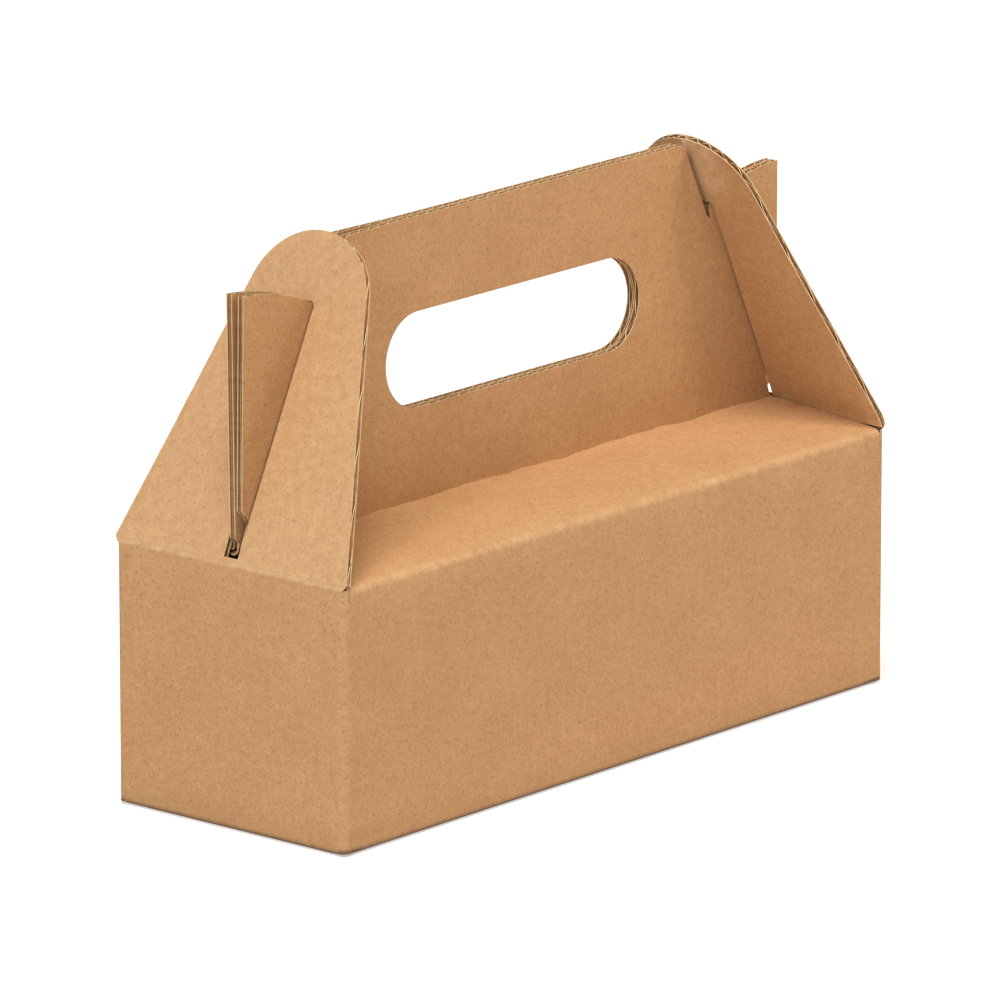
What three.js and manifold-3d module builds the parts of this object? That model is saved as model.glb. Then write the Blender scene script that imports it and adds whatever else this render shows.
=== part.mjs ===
// A small gable box: one die-cut sheet of E-flute corrugated board, folded into a carry box.
// Millimetres, +Z up. The origin is the middle of the base, +X runs along the box, -Y is the front.

import * as THREE from "three";
import { mergeVertices } from "three/addons/utils/BufferGeometryUtils.js";
import Module from "manifold-3d";

const wasm = await Module();
wasm.setup();

// Box, outside sizes
const boxLength = 187;
const boxWidth = 66.5;
const boxHeight = 60;

// Board
const board = 1.6;
const creaseRadius = 0.35; // inside radius of a scored fold
const clearance = 0.3; // round a flap that swings, and between sheets that lie on each other
const liner = 0.3; // each flat face of the board
const flutePitch = 3.4;
const flutePaper = 0.22; // the wavy sheet between the liners
const fluteCrown = 0.25; // half of the flat at the top of each wave
const fluteDepth = 2.5; // how deep the flutes stay open, below the lowest point of their cut edge
const cutGap = 0.4; // between two panels that are cut apart in the blank
const roofCut = 3.2; // the cut beside each roof end runs this far below the top of the box

// Roof and handle
const roofRise = 3; // the roof climbs this much from its front crease to the handle
const handleReach = 64.3; // from the inner fold of the roof to the top edge
const headGap = 2.6; // from the handle's slanted end to the gable flap
const handleFlare = 0.85; // how far each board springs off the middle at its top left end
const flareStart = 36; // from the middle of the box to where the boards part
const flareRun = 22;

// Hand hole
const holeLength = 87;
const holeHeight = 21.7;
const holeRise = 31.9; // its middle, above the inner fold of the roof

// Wings that lock the gable flaps
const wingReach = 59.9; // radius of the wing's top edge about the flap's fold
const wingInset = 2.6; // its outer edge, inside the end wall
const wingChamfer = 1.2;
const notchDepth = 4.2; // the V between the handle's end and the wing
const notchFloor = 0.9;
const frontWingFoot = 10.6; // lowest point of the front wing, above the flap's fold
const backWingFoot = 4.2;

// Gable flaps
const flapLean = THREE.MathUtils.degToRad(25);
const flapReach = 76;
const flapHeadRadius = 17;
const slotFoot = 1.3; // the slot starts this far above the fold
const slotCorner = 0.8;

// Snap-lock bottom, from the outside in: front flap, dust flaps, back flap, and the front flap's tongue
const frontBottomReach = 46;
const backBottomReach = 40;
const dustFlapReach = 34;
const tongueLength = 74;
const tongueBend = 39; // where the tongue leaves the front flap, from the front wall
const tongueRun = 9;
const tongueReach = 57;
const recessReach = 18; // the back flap's recess ends this far from the back wall
const frontBottomCut = 4.5; // how far a bottom flap stops short of the wall beside it
const backBottomCut = 2.5;
const dustSlope = 3.4; // run in which a dust flap rises from its crease to its layer
const backSlope = 7;
const dustCorner = 14;

// Glued seam at the back right corner
const glueTab = 20;
const glueTabInset = 4;

const weld = 0.05; // panels that are one sheet run this far into each other where they meet
const creaseDrop = 0.9; // a sloping bottom panel's crease, below the corner of its middle line
const foldSteps = 6;
const roundSteps = 8;
const flareSteps = 5;

// Places that follow from the sizes
const halfLength = boxLength / 2;
const halfWidth = boxWidth / 2;
const foldHeight = boxHeight + roofRise; // inner fold of the roof, on its upper face
const handleTop = foldHeight + handleReach;
const wallMiddle = halfWidth - board / 2;
const handleMiddle = (clearance + board) / 2;
const flapLevelFace = board / Math.cos(flapLean); // flap thickness, measured level
const layer = board + clearance; // from one bottom sheet to the next
const panelEnd = halfLength - board; // where a long panel meets the rounded corner

const point = (x, y) => new THREE.Vector2(x, y);

// Turns an extrusion so that its outline's x and y become Y and Z, and its depth runs along X
const depthAlongX = new THREE.Matrix4().set(0, 0, 1, 0, 1, 0, 0, 0, 0, 1, 0, 0, 0, 0, 0, 1);

// Solid of a closed three.js geometry
function solid(geometry) {
  const bare = geometry.index ? geometry.toNonIndexed() : geometry.clone();
  bare.deleteAttribute("normal");
  bare.deleteAttribute("uv");
  const merged = mergeVertices(bare, 1e-4);
  const mesh = new wasm.Mesh({
    numProp: 3,
    vertProperties: new Float32Array(merged.attributes.position.array),
    triVerts: new Uint32Array(merged.index.array),
  });
  return new wasm.Manifold(mesh);
}

function geometryOf(manifold) {
  const mesh = manifold.getMesh();
  const geometry = new THREE.BufferGeometry();
  geometry.setAttribute("position", new THREE.BufferAttribute(mesh.vertProperties, mesh.numProp));
  geometry.setIndex(new THREE.BufferAttribute(mesh.triVerts, 1));
  const flat = geometry.toNonIndexed();
  flat.computeVertexNormals();
  return flat;
}

function extrude(shape, depth, steps = 1) {
  return new THREE.ExtrudeGeometry(shape, { depth, steps, bevelEnabled: false, curveSegments: roundSteps });
}

// An X-Z outline, extruded from one y to another
function slabAlongY(shape, from, to) {
  const geometry = extrude(shape, to - from);
  geometry.rotateX(Math.PI / 2);
  geometry.translate(0, to, 0);
  return solid(geometry);
}

// An X-Y outline, extruded from one z to another
function slabAlongZ(shape, from, to) {
  const geometry = extrude(shape, to - from);
  geometry.translate(0, 0, from);
  return solid(geometry);
}

function block([x0, x1], [y0, y1], [z0, z1]) {
  const geometry = new THREE.BoxGeometry(x1 - x0, Math.abs(y1 - y0), z1 - z0);
  geometry.translate((x0 + x1) / 2, (y0 + y1) / 2, (z0 + z1) / 2);
  return solid(geometry);
}

// Section of a folded strip: straight panels along their middle line, rounded at each crease
function foldedSection(corners) {
  const radius = creaseRadius + board / 2;
  const line = [corners[0].clone()];
  for (let i = 1; i < corners.length - 1; i++) {
    const back = corners[i - 1].clone().sub(corners[i]).normalize();
    const ahead = corners[i + 1].clone().sub(corners[i]).normalize();
    const half = Math.acos(THREE.MathUtils.clamp(back.dot(ahead), -1, 1)) / 2;
    const inward = back.clone().add(ahead).normalize();
    const centre = inward.multiplyScalar(radius / Math.sin(half)).add(corners[i]);
    const spokeTo = (way) => corners[i].clone().addScaledVector(way, radius / Math.tan(half)).sub(centre);
    const start = spokeTo(back);
    const turn = Math.sign(start.cross(spokeTo(ahead))) * (Math.PI - 2 * half);
    for (let k = 0; k <= foldSteps; k++) {
      line.push(start.clone().rotateAround(point(0, 0), (turn * k) / foldSteps).add(centre));
    }
  }
  line.push(corners[corners.length - 1].clone());
  const face = (sign) =>
    line.map((here, i) => {
      const along = line[Math.min(i + 1, line.length - 1)].clone().sub(line[Math.max(i - 1, 0)]).normalize();
      return point(-along.y, along.x).multiplyScalar((sign * board) / 2).add(here);
    });
  return new THREE.Shape([...face(1), ...face(-1).reverse()]);
}

// A strip whose section lies in the Y-Z plane and which runs along X, with a cross edge at each station
function stripAlongX(corners, stations) {
  const steps = stations.length - 1;
  const geometry = extrude(foldedSection(corners), steps, steps);
  geometry.applyMatrix4(depthAlongX);
  const place = geometry.attributes.position;
  for (let i = 0; i < place.count; i++) {
    place.setX(i, stations[Math.round(place.getX(i))]);
  }
  return geometry;
}

// How far a handle board stands off its place, by its distance along the box and its height
function flareAt(x, z) {
  const along = THREE.MathUtils.smoothstep(-x, flareStart, flareStart + flareRun);
  const up = THREE.MathUtils.clamp((z - foldHeight) / handleReach, 0, 1);
  return handleFlare * along * up;
}

// Level distance from the middle of the box to the clear side of a gable flap's inner face
function insideFlap(z) {
  return halfLength - (z - boxHeight) * Math.tan(flapLean) - flapLevelFace - clearance;
}

// Right-hand half of the outline of roof and handle, seen from the front
function handleSide(wingFoot) {
  const hinge = point(halfLength, boxHeight);
  const outer = halfLength - wingInset;
  const roofEnd = panelEnd - cutGap;
  const footStart = Math.max(foldHeight + cutGap, boxHeight + wingFoot - 2 * wingChamfer);
  const side = [
    point(roofEnd, boxHeight - 2 * roofCut),
    point(insideFlap(boxHeight), boxHeight),
    point(insideFlap(footStart), footStart),
    point(outer - wingChamfer, boxHeight + wingFoot),
    point(outer, boxHeight + wingFoot + wingChamfer),
  ];
  const outerAngle = Math.PI / 2 + Math.asin(wingInset / wingReach);
  const innerAngle = Math.PI / 2 + flapLean - clearance / board / 20;
  for (let k = 0; k <= roundSteps; k++) {
    const angle = THREE.MathUtils.lerp(outerAngle, innerAngle, k / roundSteps);
    side.push(point(Math.cos(angle), Math.sin(angle)).multiplyScalar(wingReach).add(hinge));
  }
  const tip = side[side.length - 1];
  const floor = tip.y - notchDepth;
  const endOfHandle = (z) => insideFlap(z) - headGap;
  side.push(
    point(tip.x - wingChamfer, tip.y - wingChamfer),
    point(endOfHandle(floor) + notchFloor, floor),
    point(endOfHandle(floor + notchFloor), floor + notchFloor),
    point(endOfHandle(handleTop), handleTop),
  );
  return side;
}

function handleOutline(wingFoot) {
  const right = handleSide(wingFoot);
  const left = right.map((p) => point(-p.x, p.y)).reverse();
  return new THREE.Shape([...right, ...left]);
}

// Height of an outline's upper edge at x
function rimAt(outline, x) {
  let rim = -Infinity;
  outline.forEach((a, i) => {
    const b = outline[(i + 1) % outline.length];
    if (a.x !== b.x && (a.x - x) * (b.x - x) <= 0) {
      rim = Math.max(rim, THREE.MathUtils.lerp(a.y, b.y, (x - a.x) / (b.x - a.x)));
    }
  });
  return rim;
}

// Opens the flutes along a board's upper edge. The flutes run up Z, and each hollow between a wave and
// a liner is drawn with X along the board and Y through it; place moves it to where the board is.
function openFlutes(sheet, shape, lowest, place) {
  const outline = shape.getPoints(roundSteps);
  const reach = Math.max(...outline.map((p) => p.x));
  const wave = flutePitch / 2;
  const inside = board / 2 - liner;
  const slope = (2 * inside) / (wave - 2 * fluteCrown);
  const mouth = wave - fluteCrown - flutePaper / 2;
  const tip = inside - (mouth - fluteCrown) * slope;
  let open = sheet;
  for (let k = -Math.floor(reach / wave); k * wave < reach; k++) {
    const middle = k * wave;
    const sign = k % 2 === 0 ? 1 : -1;
    const rims = [middle - mouth, middle, middle + mouth].map((x) => rimAt(outline, x));
    const floor = Math.min(...rims) - fluteDepth;
    if (floor > lowest) {
      const hollow = new THREE.Shape([
        point(middle - mouth, sign * inside),
        point(middle + mouth, sign * inside),
        point(middle + fluteCrown, sign * tip),
        point(middle - fluteCrown, sign * tip),
      ]);
      const geometry = extrude(hollow, Math.max(...rims) + board - floor);
      geometry.translate(0, 0, floor);
      place(geometry);
      open = open.subtract(solid(geometry));
    }
  }
  return open;
}

function handHole() {
  const radius = holeHeight / 2;
  const straight = holeLength / 2 - radius;
  const middle = foldHeight + holeRise;
  const shape = new THREE.Shape();
  shape.absarc(straight, middle, radius, -Math.PI / 2, Math.PI / 2, false);
  shape.absarc(-straight, middle, radius, Math.PI / 2, (3 * Math.PI) / 2, false);
  return slabAlongY(shape, -halfWidth, halfWidth);
}

// One long side of the blank, from its bottom flap over wall and roof to the top of the handle board.
// side is -1 for the front and 1 for the back.
function longSide(side, bottom, from, to, wingFoot) {
  const across = (y, z) => point(side * y, z);
  const corners = [
    ...bottom.map(([y, z]) => across(y, z)),
    across(wallMiddle, boxHeight - board / 2),
    across(handleMiddle, foldHeight - board / 2),
    across(handleMiddle, handleTop + board),
  ];
  const stations = [from];
  for (let k = flareSteps; k >= 0; k--) {
    stations.push(-flareStart - (flareRun * k) / flareSteps);
  }
  stations.push(to);
  const strip = stripAlongX(corners, stations);
  const flare = (geometry) => {
    const place = geometry.attributes.position;
    for (let i = 0; i < place.count; i++) {
      place.setY(i, place.getY(i) + side * flareAt(place.getX(i), place.getZ(i)));
    }
  };
  flare(strip);
  const aboveWalls = block([-boxLength, boxLength], [-boxWidth, boxWidth], [boxHeight - roofCut, 2 * handleTop]);
  const outline = handleOutline(wingFoot);
  const panel = slabAlongY(outline, -2 * boxWidth, 2 * boxWidth);
  const sheet = solid(strip).subtract(aboveWalls.subtract(panel)).subtract(handHole());
  return openFlutes(sheet, outline, foldHeight + holeRise, (hollow) => {
    hollow.translate(0, side * handleMiddle, 0);
    flare(hollow);
  });
}

// What is cut off both ends of a long bottom flap
function bottomEnds(side, cut, height) {
  const indoors = [side * (halfWidth - board - clearance), -side * boxWidth];
  const whole = block([-boxLength, boxLength], indoors, [-board, height]);
  return whole.subtract(block([cut - halfLength, halfLength - cut], [-boxWidth, boxWidth], [-boxWidth, boxWidth]));
}

function frontSide() {
  const bottom = [
    [halfWidth - frontBottomReach, board / 2],
    [wallMiddle, board / 2],
  ];
  const wall = longSide(-1, bottom, -panelEnd, panelEnd, frontWingFoot);
  return wall.subtract(bottomEnds(-1, frontBottomCut, layer));
}

// The middle of the front bottom flap, bent up so that it hooks over the back flap
function tongue() {
  const top = 3 * layer + board / 2;
  const bend = tongueBend - halfWidth;
  const corners = [
    point(bend - board, board / 2),
    point(bend, board / 2),
    point(bend + tongueRun, top),
    point(tongueReach - halfWidth, top),
  ];
  return solid(stripAlongX(corners, [-tongueLength / 2, tongueLength / 2]));
}

function backSide() {
  const level = 2 * layer + board / 2;
  const bottom = [
    [halfWidth - backBottomReach, level],
    [halfWidth - backSlope, level],
    [wallMiddle, board / 2 - creaseDrop],
  ];
  const wall = longSide(1, bottom, -panelEnd, halfLength - cutGap / 2, backWingFoot);
  const recessEnd = halfWidth - recessReach;
  const recess = block(
    [-tongueLength / 2 - clearance, tongueLength / 2 + clearance],
    [-halfWidth, recessEnd],
    [board, level + layer],
  );
  return wall.subtract(bottomEnds(1, backBottomCut, level + layer)).subtract(recess);
}

// The part of the front bottom flap that the tongue takes away on its way up
function tongueClearance() {
  const bend = tongueBend - halfWidth;
  const half = tongueLength / 2 + clearance;
  return block([-half, half], [bend, halfWidth], [-board, layer]);
}

// An end wall with its dust flap. side is -1 for the left and 1 for the right.
function endSide(side, from, to) {
  const level = layer + board / 2;
  const corners = [
    point(halfLength - dustFlapReach, level),
    point(halfLength - dustSlope, level),
    point(halfLength - board / 2, board / 2 - creaseDrop),
    point(halfLength - board / 2, boxHeight),
  ].map((p) => point(side * p.x, p.y));
  const wall = slabAlongY(foldedSection(corners), from, to);
  const tip = halfLength - dustFlapReach;
  const back = halfWidth - backSlope - board;
  const keep = new THREE.Shape(
    [
      point(halfLength, board + clearance - halfWidth),
      point(tip + dustCorner, board + clearance - halfWidth),
      point(tip, dustCorner - halfWidth),
      point(tip, back - dustCorner / 2),
      point(tip + dustCorner, back),
      point(halfLength, back),
    ].map((p) => point(side * p.x, p.y)),
  );
  const wallFace = panelEnd - clearance;
  const inside = side < 0 ? [-wallFace, 0] : [0, wallFace];
  const flapSpace = block(inside, [-boxWidth, boxWidth], [-board, boxHeight / 2]);
  return wall.subtract(flapSpace.subtract(slabAlongZ(keep, -boxHeight, boxHeight)));
}

// Rounded upright corner about the walls' inner corner (x, y), a quarter turn from the angle given
function cornerPost(x, y, angle) {
  const shape = new THREE.Shape();
  shape.moveTo(0, 0);
  shape.lineTo(0, -weld);
  shape.lineTo(board, -weld);
  shape.absarc(0, 0, board, 0, Math.PI / 2, false);
  shape.lineTo(-weld, board);
  shape.lineTo(-weld, 0);
  const geometry = extrude(shape, boxHeight - board / 4);
  geometry.rotateZ(angle);
  geometry.translate(x, y, board / 4);
  return solid(geometry);
}

// The glue tab turns in from the right end wall behind the back wall, whose raw edge shows at the corner
function seamTab() {
  const outer = halfWidth - board;
  const shape = new THREE.Shape([
    point(panelEnd + board / 4, glueTabInset),
    point(panelEnd + board / 4, boxHeight - glueTabInset / 2),
    point(panelEnd - glueTab, boxHeight - 2 * glueTabInset),
    point(panelEnd - glueTab, 2 * glueTabInset),
  ]);
  return slabAlongY(shape, outer - board, outer + weld);
}

function boxBody() {
  const innerSide = halfWidth - board;
  return frontSide()
    .subtract(tongueClearance())
    .add(tongue())
    .add(backSide())
    .add(endSide(-1, -innerSide, innerSide))
    .add(endSide(1, -innerSide, innerSide - board))
    .add(cornerPost(-panelEnd, -innerSide, Math.PI))
    .add(cornerPost(panelEnd, -innerSide, -Math.PI / 2))
    .add(cornerPost(-panelEnd, innerSide, Math.PI / 2))
    .add(cornerPost(panelEnd, innerSide - board, 0))
    .add(seamTab());
}

// A gable flap as cut: across the box by height above its fold, with its outer face on the fold line
function gableFlap() {
  const headHeight = flapReach - flapHeadRadius;
  const toCorner = point(halfWidth, -headHeight);
  const tangent = toCorner.angle() - 2 * Math.PI + Math.acos(flapHeadRadius / toCorner.length());
  const outline = new THREE.Shape();
  outline.moveTo(halfWidth, -board);
  outline.lineTo(halfWidth, 0);
  outline.absarc(0, headHeight, flapHeadRadius, tangent, Math.PI - tangent, false);
  outline.lineTo(-halfWidth, 0);
  outline.lineTo(-halfWidth, -board);
  outline.closePath();

  const foot = handleMiddle + board / 2 + clearance;
  const head = foot + handleFlare;
  const top = wingReach + clearance;
  outline.holes.push(
    new THREE.Path([
      point(-foot, slotFoot),
      point(-head, top - slotCorner),
      point(-head + slotCorner, top),
      point(head - slotCorner, top),
      point(head, top - slotCorner),
      point(foot, slotFoot),
    ]),
  );
  const sheet = extrude(outline, board);
  sheet.applyMatrix4(depthAlongX);

  // Its lower edge is level when the flap leans, just clear of the end wall
  const under = new THREE.BoxGeometry(boxHeight, 2 * boxWidth, boxHeight);
  under.translate(0, 0, clearance - boxHeight / 2);
  under.rotateY(-flapLean);
  return openFlutes(solid(sheet).subtract(solid(under)), outline, 2 * board, (hollow) => {
    hollow.rotateZ(Math.PI / 2);
    hollow.translate(board / 2, 0, 0);
  });
}

function kraft(name, color) {
  return new THREE.MeshStandardMaterial({ name, color, roughness: 0.86, metalness: 0 });
}

function named(name, manifold, material) {
  const mesh = new THREE.Mesh(geometryOf(manifold), material);
  mesh.name = name;
  return mesh;
}

const gableBox = new THREE.Group();
gableBox.add(named("box_body", boxBody(), kraft("kraft_board", 0xc3966b)));

for (const [name, turn] of [
  ["left_gable_flap", 0],
  ["right_gable_flap", Math.PI],
]) {
  const end = new THREE.Group();
  end.rotation.z = turn;
  const flap = named(name, gableFlap(), kraft("kraft_board_flap", 0xd2a576));
  flap.position.set(-halfLength, 0, boxHeight);
  flap.rotation.y = flapLean;
  end.add(flap);
  gableBox.add(end);
}

export default gableBox;
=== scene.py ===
# %% [markdown]
# # A gable box of corrugated board
# The real box is one sheet of E-flute board: two kraft paper liners glued to a wavy sheet between them.
# It is cut flat, scored, and folded. It could be built from boxes with a little thickness, but those would
# have no flutes at their cut edges and no creases. So each run of panels is drawn flat here, as the cutting
# forme would cut it, and a folding rule then carries every point to its place. That keeps the true section
# at the cut edges, and patterns that follow the sheet round each fold.

import math

import bmesh
import bpy
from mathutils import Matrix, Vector, noise
from mathutils.geometry import delaunay_2d_cdt


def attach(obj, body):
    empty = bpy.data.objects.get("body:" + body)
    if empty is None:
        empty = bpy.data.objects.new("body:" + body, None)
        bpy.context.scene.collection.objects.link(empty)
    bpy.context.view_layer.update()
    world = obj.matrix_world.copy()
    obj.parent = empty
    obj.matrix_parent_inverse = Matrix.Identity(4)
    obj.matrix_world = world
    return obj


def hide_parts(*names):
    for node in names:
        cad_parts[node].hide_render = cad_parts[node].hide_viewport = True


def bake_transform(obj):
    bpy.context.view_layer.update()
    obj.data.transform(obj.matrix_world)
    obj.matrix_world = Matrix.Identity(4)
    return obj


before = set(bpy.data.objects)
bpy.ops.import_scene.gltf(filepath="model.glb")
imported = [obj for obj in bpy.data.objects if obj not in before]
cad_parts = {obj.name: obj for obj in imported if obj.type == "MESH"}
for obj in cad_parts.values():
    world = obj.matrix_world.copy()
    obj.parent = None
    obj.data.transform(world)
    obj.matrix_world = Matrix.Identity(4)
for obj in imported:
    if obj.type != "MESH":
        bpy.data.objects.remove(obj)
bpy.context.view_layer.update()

# %% [markdown]
# ## Sizes
# All sizes are millimetres until the meshes are written. Each panel is described by u, along the box or
# across its end, by s, the distance along the folded middle of the board, and by n, the distance outwards
# from that middle. Heights z are measured from the floor.

# %% Sizes of board and box
MM = 0.001
BOARD, LINER = 1.6, 0.22
PITCH, WAVE, PAPER = 3.4, 0.47, 0.22  # of the flutes: length, half height, and thickness of the paper
HALF_LENGTH, HALF_WIDTH, HEIGHT = 93.5, 33.25, 60.0
FOLD_TOP, HANDLE_TOP = 63.0, 127.3
WALL = HALF_WIDTH - BOARD / 2  # middle of the front and back boards
END = HALF_LENGTH - BOARD / 2  # middle of the end boards
APART = 0.95  # middle of each handle board, from the middle of the box
CREASE_Z = HEIGHT - 0.8  # where the middles of wall and roof would meet without a bend
LEAN = math.radians(25)
CREASE = 1.0  # radius of the board's middle in a scored fold
CORNER = 0.98  # and in an upright corner
CORNER_RUN = CORNER * math.pi / 2
print(f"box {2 * HALF_LENGTH} x {2 * HALF_WIDTH} x {HEIGHT} mm, {PITCH} mm flutes")

# %% [markdown]
# ## Folding rule
# A strip of panels bends only along its creases, so its middle line is straight runs joined by small
# arcs. A bone or a bend modifier for each crease could fold it too, but one rule for the whole strip keeps
# every crease exact. It returns the place and the outward direction at any distance s along the line, with
# s = 0 at a chosen crease.


# %% Middle line of a folded strip
def bent_line(corners, zero, radius=CREASE):
    corners = [Vector(c) for c in corners]
    runs, marks, s, here = [], [0.0], 0.0, corners[0]
    for before, corner, after in zip(corners, corners[1:], corners[2:]):
        back, ahead = (before - corner).normalized(), (after - corner).normalized()
        half = math.acos(max(-1, min(1, back.dot(ahead)))) / 2
        cut = radius / math.tan(half)
        start = corner + back * cut
        runs.append((s, (start - here).length, here, -back, 0.0))
        s += runs[-1][1]
        way = -back
        turn = math.copysign(math.pi - 2 * half, way.x * ahead.y - way.y * ahead.x)
        runs.append((s, radius * abs(turn), start, way, turn))
        marks.append(s + runs[-1][1] / 2)
        s += runs[-1][1]
        here = corner + ahead * cut
    runs.append((s, (corners[-1] - here).length, here, (corners[-1] - here).normalized(), 0.0))
    s += runs[-1][1]
    marks.append(s)
    shift = marks[zero]

    def at(place):
        place += shift
        run = runs[0]
        for candidate in runs:
            if place >= candidate[0]:
                run = candidate
        start, length, point, way, turn = run
        if turn:
            angle = turn * (place - start) / length
            swing = math.copysign(radius, turn)
            side = Vector((-way.y, way.x))
            point = point + side * swing * (1 - math.cos(angle)) + way * swing * math.sin(angle)
            way = Vector((way.x * math.cos(angle) - way.y * math.sin(angle),
                          way.x * math.sin(angle) + way.y * math.cos(angle)))
        else:
            point = point + way * (place - start)
        return point, Vector((way.y, -way.x))

    bends = [(start - shift, start + length - shift) for start, length, _, _, turn in runs if turn]
    return at, [mark - shift for mark in marks], bends


square_fold = bent_line([(0, 0), (10, 0), (10, 10)], 0)
print("sheet in two 10 mm runs folded square, mm:", round(square_fold[1][-1], 2))

# %% [markdown]
# ## Cutting rule
# On the real box a steel rule cuts the outline. Here a flat outline becomes triangles by a constrained
# Delaunay mesh. A grid cut by a boolean would be simpler, but it leaves slivers along arcs. Rows are dense
# where a crease will bend the sheet and sparse on flat panels. Every row and column is a line of fixed
# edges, so that no triangle runs across a wave or cuts the corner of a bend.


# %% Where a line crosses the outline
def crossings(loops, level, axis=0):
    found = []
    for loop in loops:
        for p, q in zip(loop, loop[1:] + loop[:1]):
            if (p[axis] - level) * (q[axis] - level) < 0:
                share = (level - p[axis]) / (q[axis] - p[axis])
                found.append(p[1 - axis] + (q[1 - axis] - p[1 - axis]) * share)
    return sorted(found)


def inside(loops, u, s):
    return sum(1 for c in crossings(loops, u) if c > s) % 2 == 1


# %% Triangles of a flat outline
def dense(loop, rows, columns, step):
    done = []
    for (au, a), (bu, b) in zip(loop, loop[1:] + loop[:1]):
        length = math.hypot(bu - au, b - a)
        count = max(1, math.ceil(length / step))
        cuts = {k / count for k in range(count)}
        cuts |= {(r - a) / (b - a) for r in rows if min(a, b) < r < max(a, b)}
        cuts |= {(c - au) / (bu - au) for c in columns if min(au, bu) < c < max(au, bu)}
        last = -1.0
        for t in sorted(cuts):
            if (t - last) * length > 0.02 and (1 - t) * length > 0.02 or t == 0:
                done.append((au + (bu - au) * t, a + (b - a) * t))
                last = t
    return done


def flat_mesh(loops, rows, columns, step=4.0):
    loops = [dense(loop, rows, columns, step) for loop in loops]
    points, edges = [], []
    for loop in loops:
        first = len(points)
        points += [Vector(p) for p in loop]
        edges += [(first + i, first + (i + 1) % len(loop)) for i in range(len(loop))]
    for axis, lines, stops in ((0, columns, rows), (1, rows, columns)):
        for line in lines:
            cuts = crossings(loops, line + 1e-5, axis)
            for low, high in zip(cuts[::2], cuts[1::2]):
                places = [low] + [k for k in stops if low + 0.03 < k < high - 0.03] + [high]
                first = len(points)
                points += [Vector((line, k) if axis == 0 else (k, line)) for k in places]
                edges += [(first + i, first + i + 1) for i in range(len(places) - 1)]
    verts, _, faces, _, _, _ = delaunay_2d_cdt(points, edges, [], 0, 1e-4)
    kept = []
    for face in faces:
        u, s = (sum(verts[i][k] for i in face) / 3 for k in (0, 1))
        if inside(loops, u + 1e-6, s):
            kept.append(face)
    return [tuple(v) for v in verts], kept


ring = [[(0, 0), (10, 0), (10, 10), (0, 10)], [(4, 4), (6, 4), (6, 6), (4, 6)]]
print("triangles of a 10 mm square with a hole:", len(flat_mesh(ring, [5], [5])[1]))


# %% Rows, dense in the bends
def spread(low, high, step):
    count = max(1, math.ceil((high - low) / step))
    return [low + (high - low) * k / count for k in range(count + 1)]


def rows_for(bends, low, high, step):
    rows, here = [], low
    for start, end in bends:
        if end < low or start > high:
            continue
        rows += spread(here, start, step)[:-1] + spread(start, end, (end - start) / 6)[:-1]
        here = end
    return sorted(set(rows + spread(here, high, step)))


print("rows for one bend:", rows_for([(4.0, 4.6)], 0.0, 10.0, 6.0))

# %% [markdown]
# ## Materials
# The liners are unbleached kraft paper, made on a paper machine from long wood fibres: matt, warm brown,
# with short darker and lighter fibres lying every way and a soft cloudiness from uneven pulp. Where a
# knife or a crease opens the paper it turns paler. Along the creases and corners the paler colour is also
# a painted highlight, for the light that the rounded folds catch. The wavy sheet is recycled fluting
# paper, which is darker and duller. A picture of cardboard would repeat its flecks, so stretched noise
# draws the fibres, in the sheet's own flat coordinates.


# %% Colours and nodes
def srgb(code):
    parts = [int(code[i:i + 2], 16) / 255 for i in (1, 3, 5)]
    return [p / 12.92 if p <= 0.04045 else ((p + 0.055) / 1.055) ** 2.4 for p in parts] + [1.0]


def add_node(tree, kind, settings=None, links=None):
    node = tree.nodes.new(kind)
    for name, value in (settings or {}).items():
        if isinstance(name, str) and hasattr(node, name):
            setattr(node, name, value)
        else:
            node.inputs[name].default_value = value
    for name, output in (links or {}).items():
        tree.links.new(output, node.inputs[name])
    return node


def new_material(name):
    material = bpy.data.materials.new(name)
    material.use_nodes = True
    material.node_tree.nodes.clear()
    return material, material.node_tree


print("kraft brown in linear light:", [round(c, 3) for c in srgb("#b98b5e")])

# %% [markdown]
# ### Fibres, clouds, wear and painted light
# Three layers of colour lie on each other: clouds of pulp, dark fibres in two directions, and pale fibres
# in a third. Over them go a pale mark, the rub of the creases together with a painted highlight on the
# creases and corners, and a dark mark, the grey soil of the corners together with a painted contact shadow
# along the bottom edges. Every mesh brings both as vertex attributes. The relief is the same fibres and
# clouds, and on the liners a faint print of the flutes, as glue draws the paper down between them.

# %% Fibres 0.4 mm wide and 1.1 mm long, clouds of 2 and 17 mm
FIBRE, FIBRE_ANGLES = (0.0011, 0.0004, 1), (0.35, -1.1, 0.9, 1.9)
CLOUDS = ((420, 5.0), (60, 3.0))
# Colours of the pale marks (rub plus painted highlight) and the dark marks (soil plus painted contact shadow).
RUB_AND_HIGHLIGHT_COLOUR, SOIL_AND_SHADOW_COLOUR = "#e6c79d", "#4e4034"


def noise_textures(tree, sheet):
    fibres, clouds = [], []
    for angle in FIBRE_ANGLES:
        settings = {"vector_type": "TEXTURE", "Rotation": (0, 0, angle), "Scale": FIBRE}
        turned = add_node(tree, "ShaderNodeMapping", settings, {"Vector": sheet}).outputs[0]
        settings = {"Scale": 1.0, "Detail": 2.0, "Roughness": 0.6}
        fibres.append(add_node(tree, "ShaderNodeTexNoise", settings, {"Vector": turned}).outputs[0])
    for scale, detail in CLOUDS:
        settings = {"Scale": scale, "Detail": detail, "Roughness": 0.6}
        clouds.append(add_node(tree, "ShaderNodeTexNoise", settings, {"Vector": sheet}).outputs[0])
    return fibres, clouds


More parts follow.
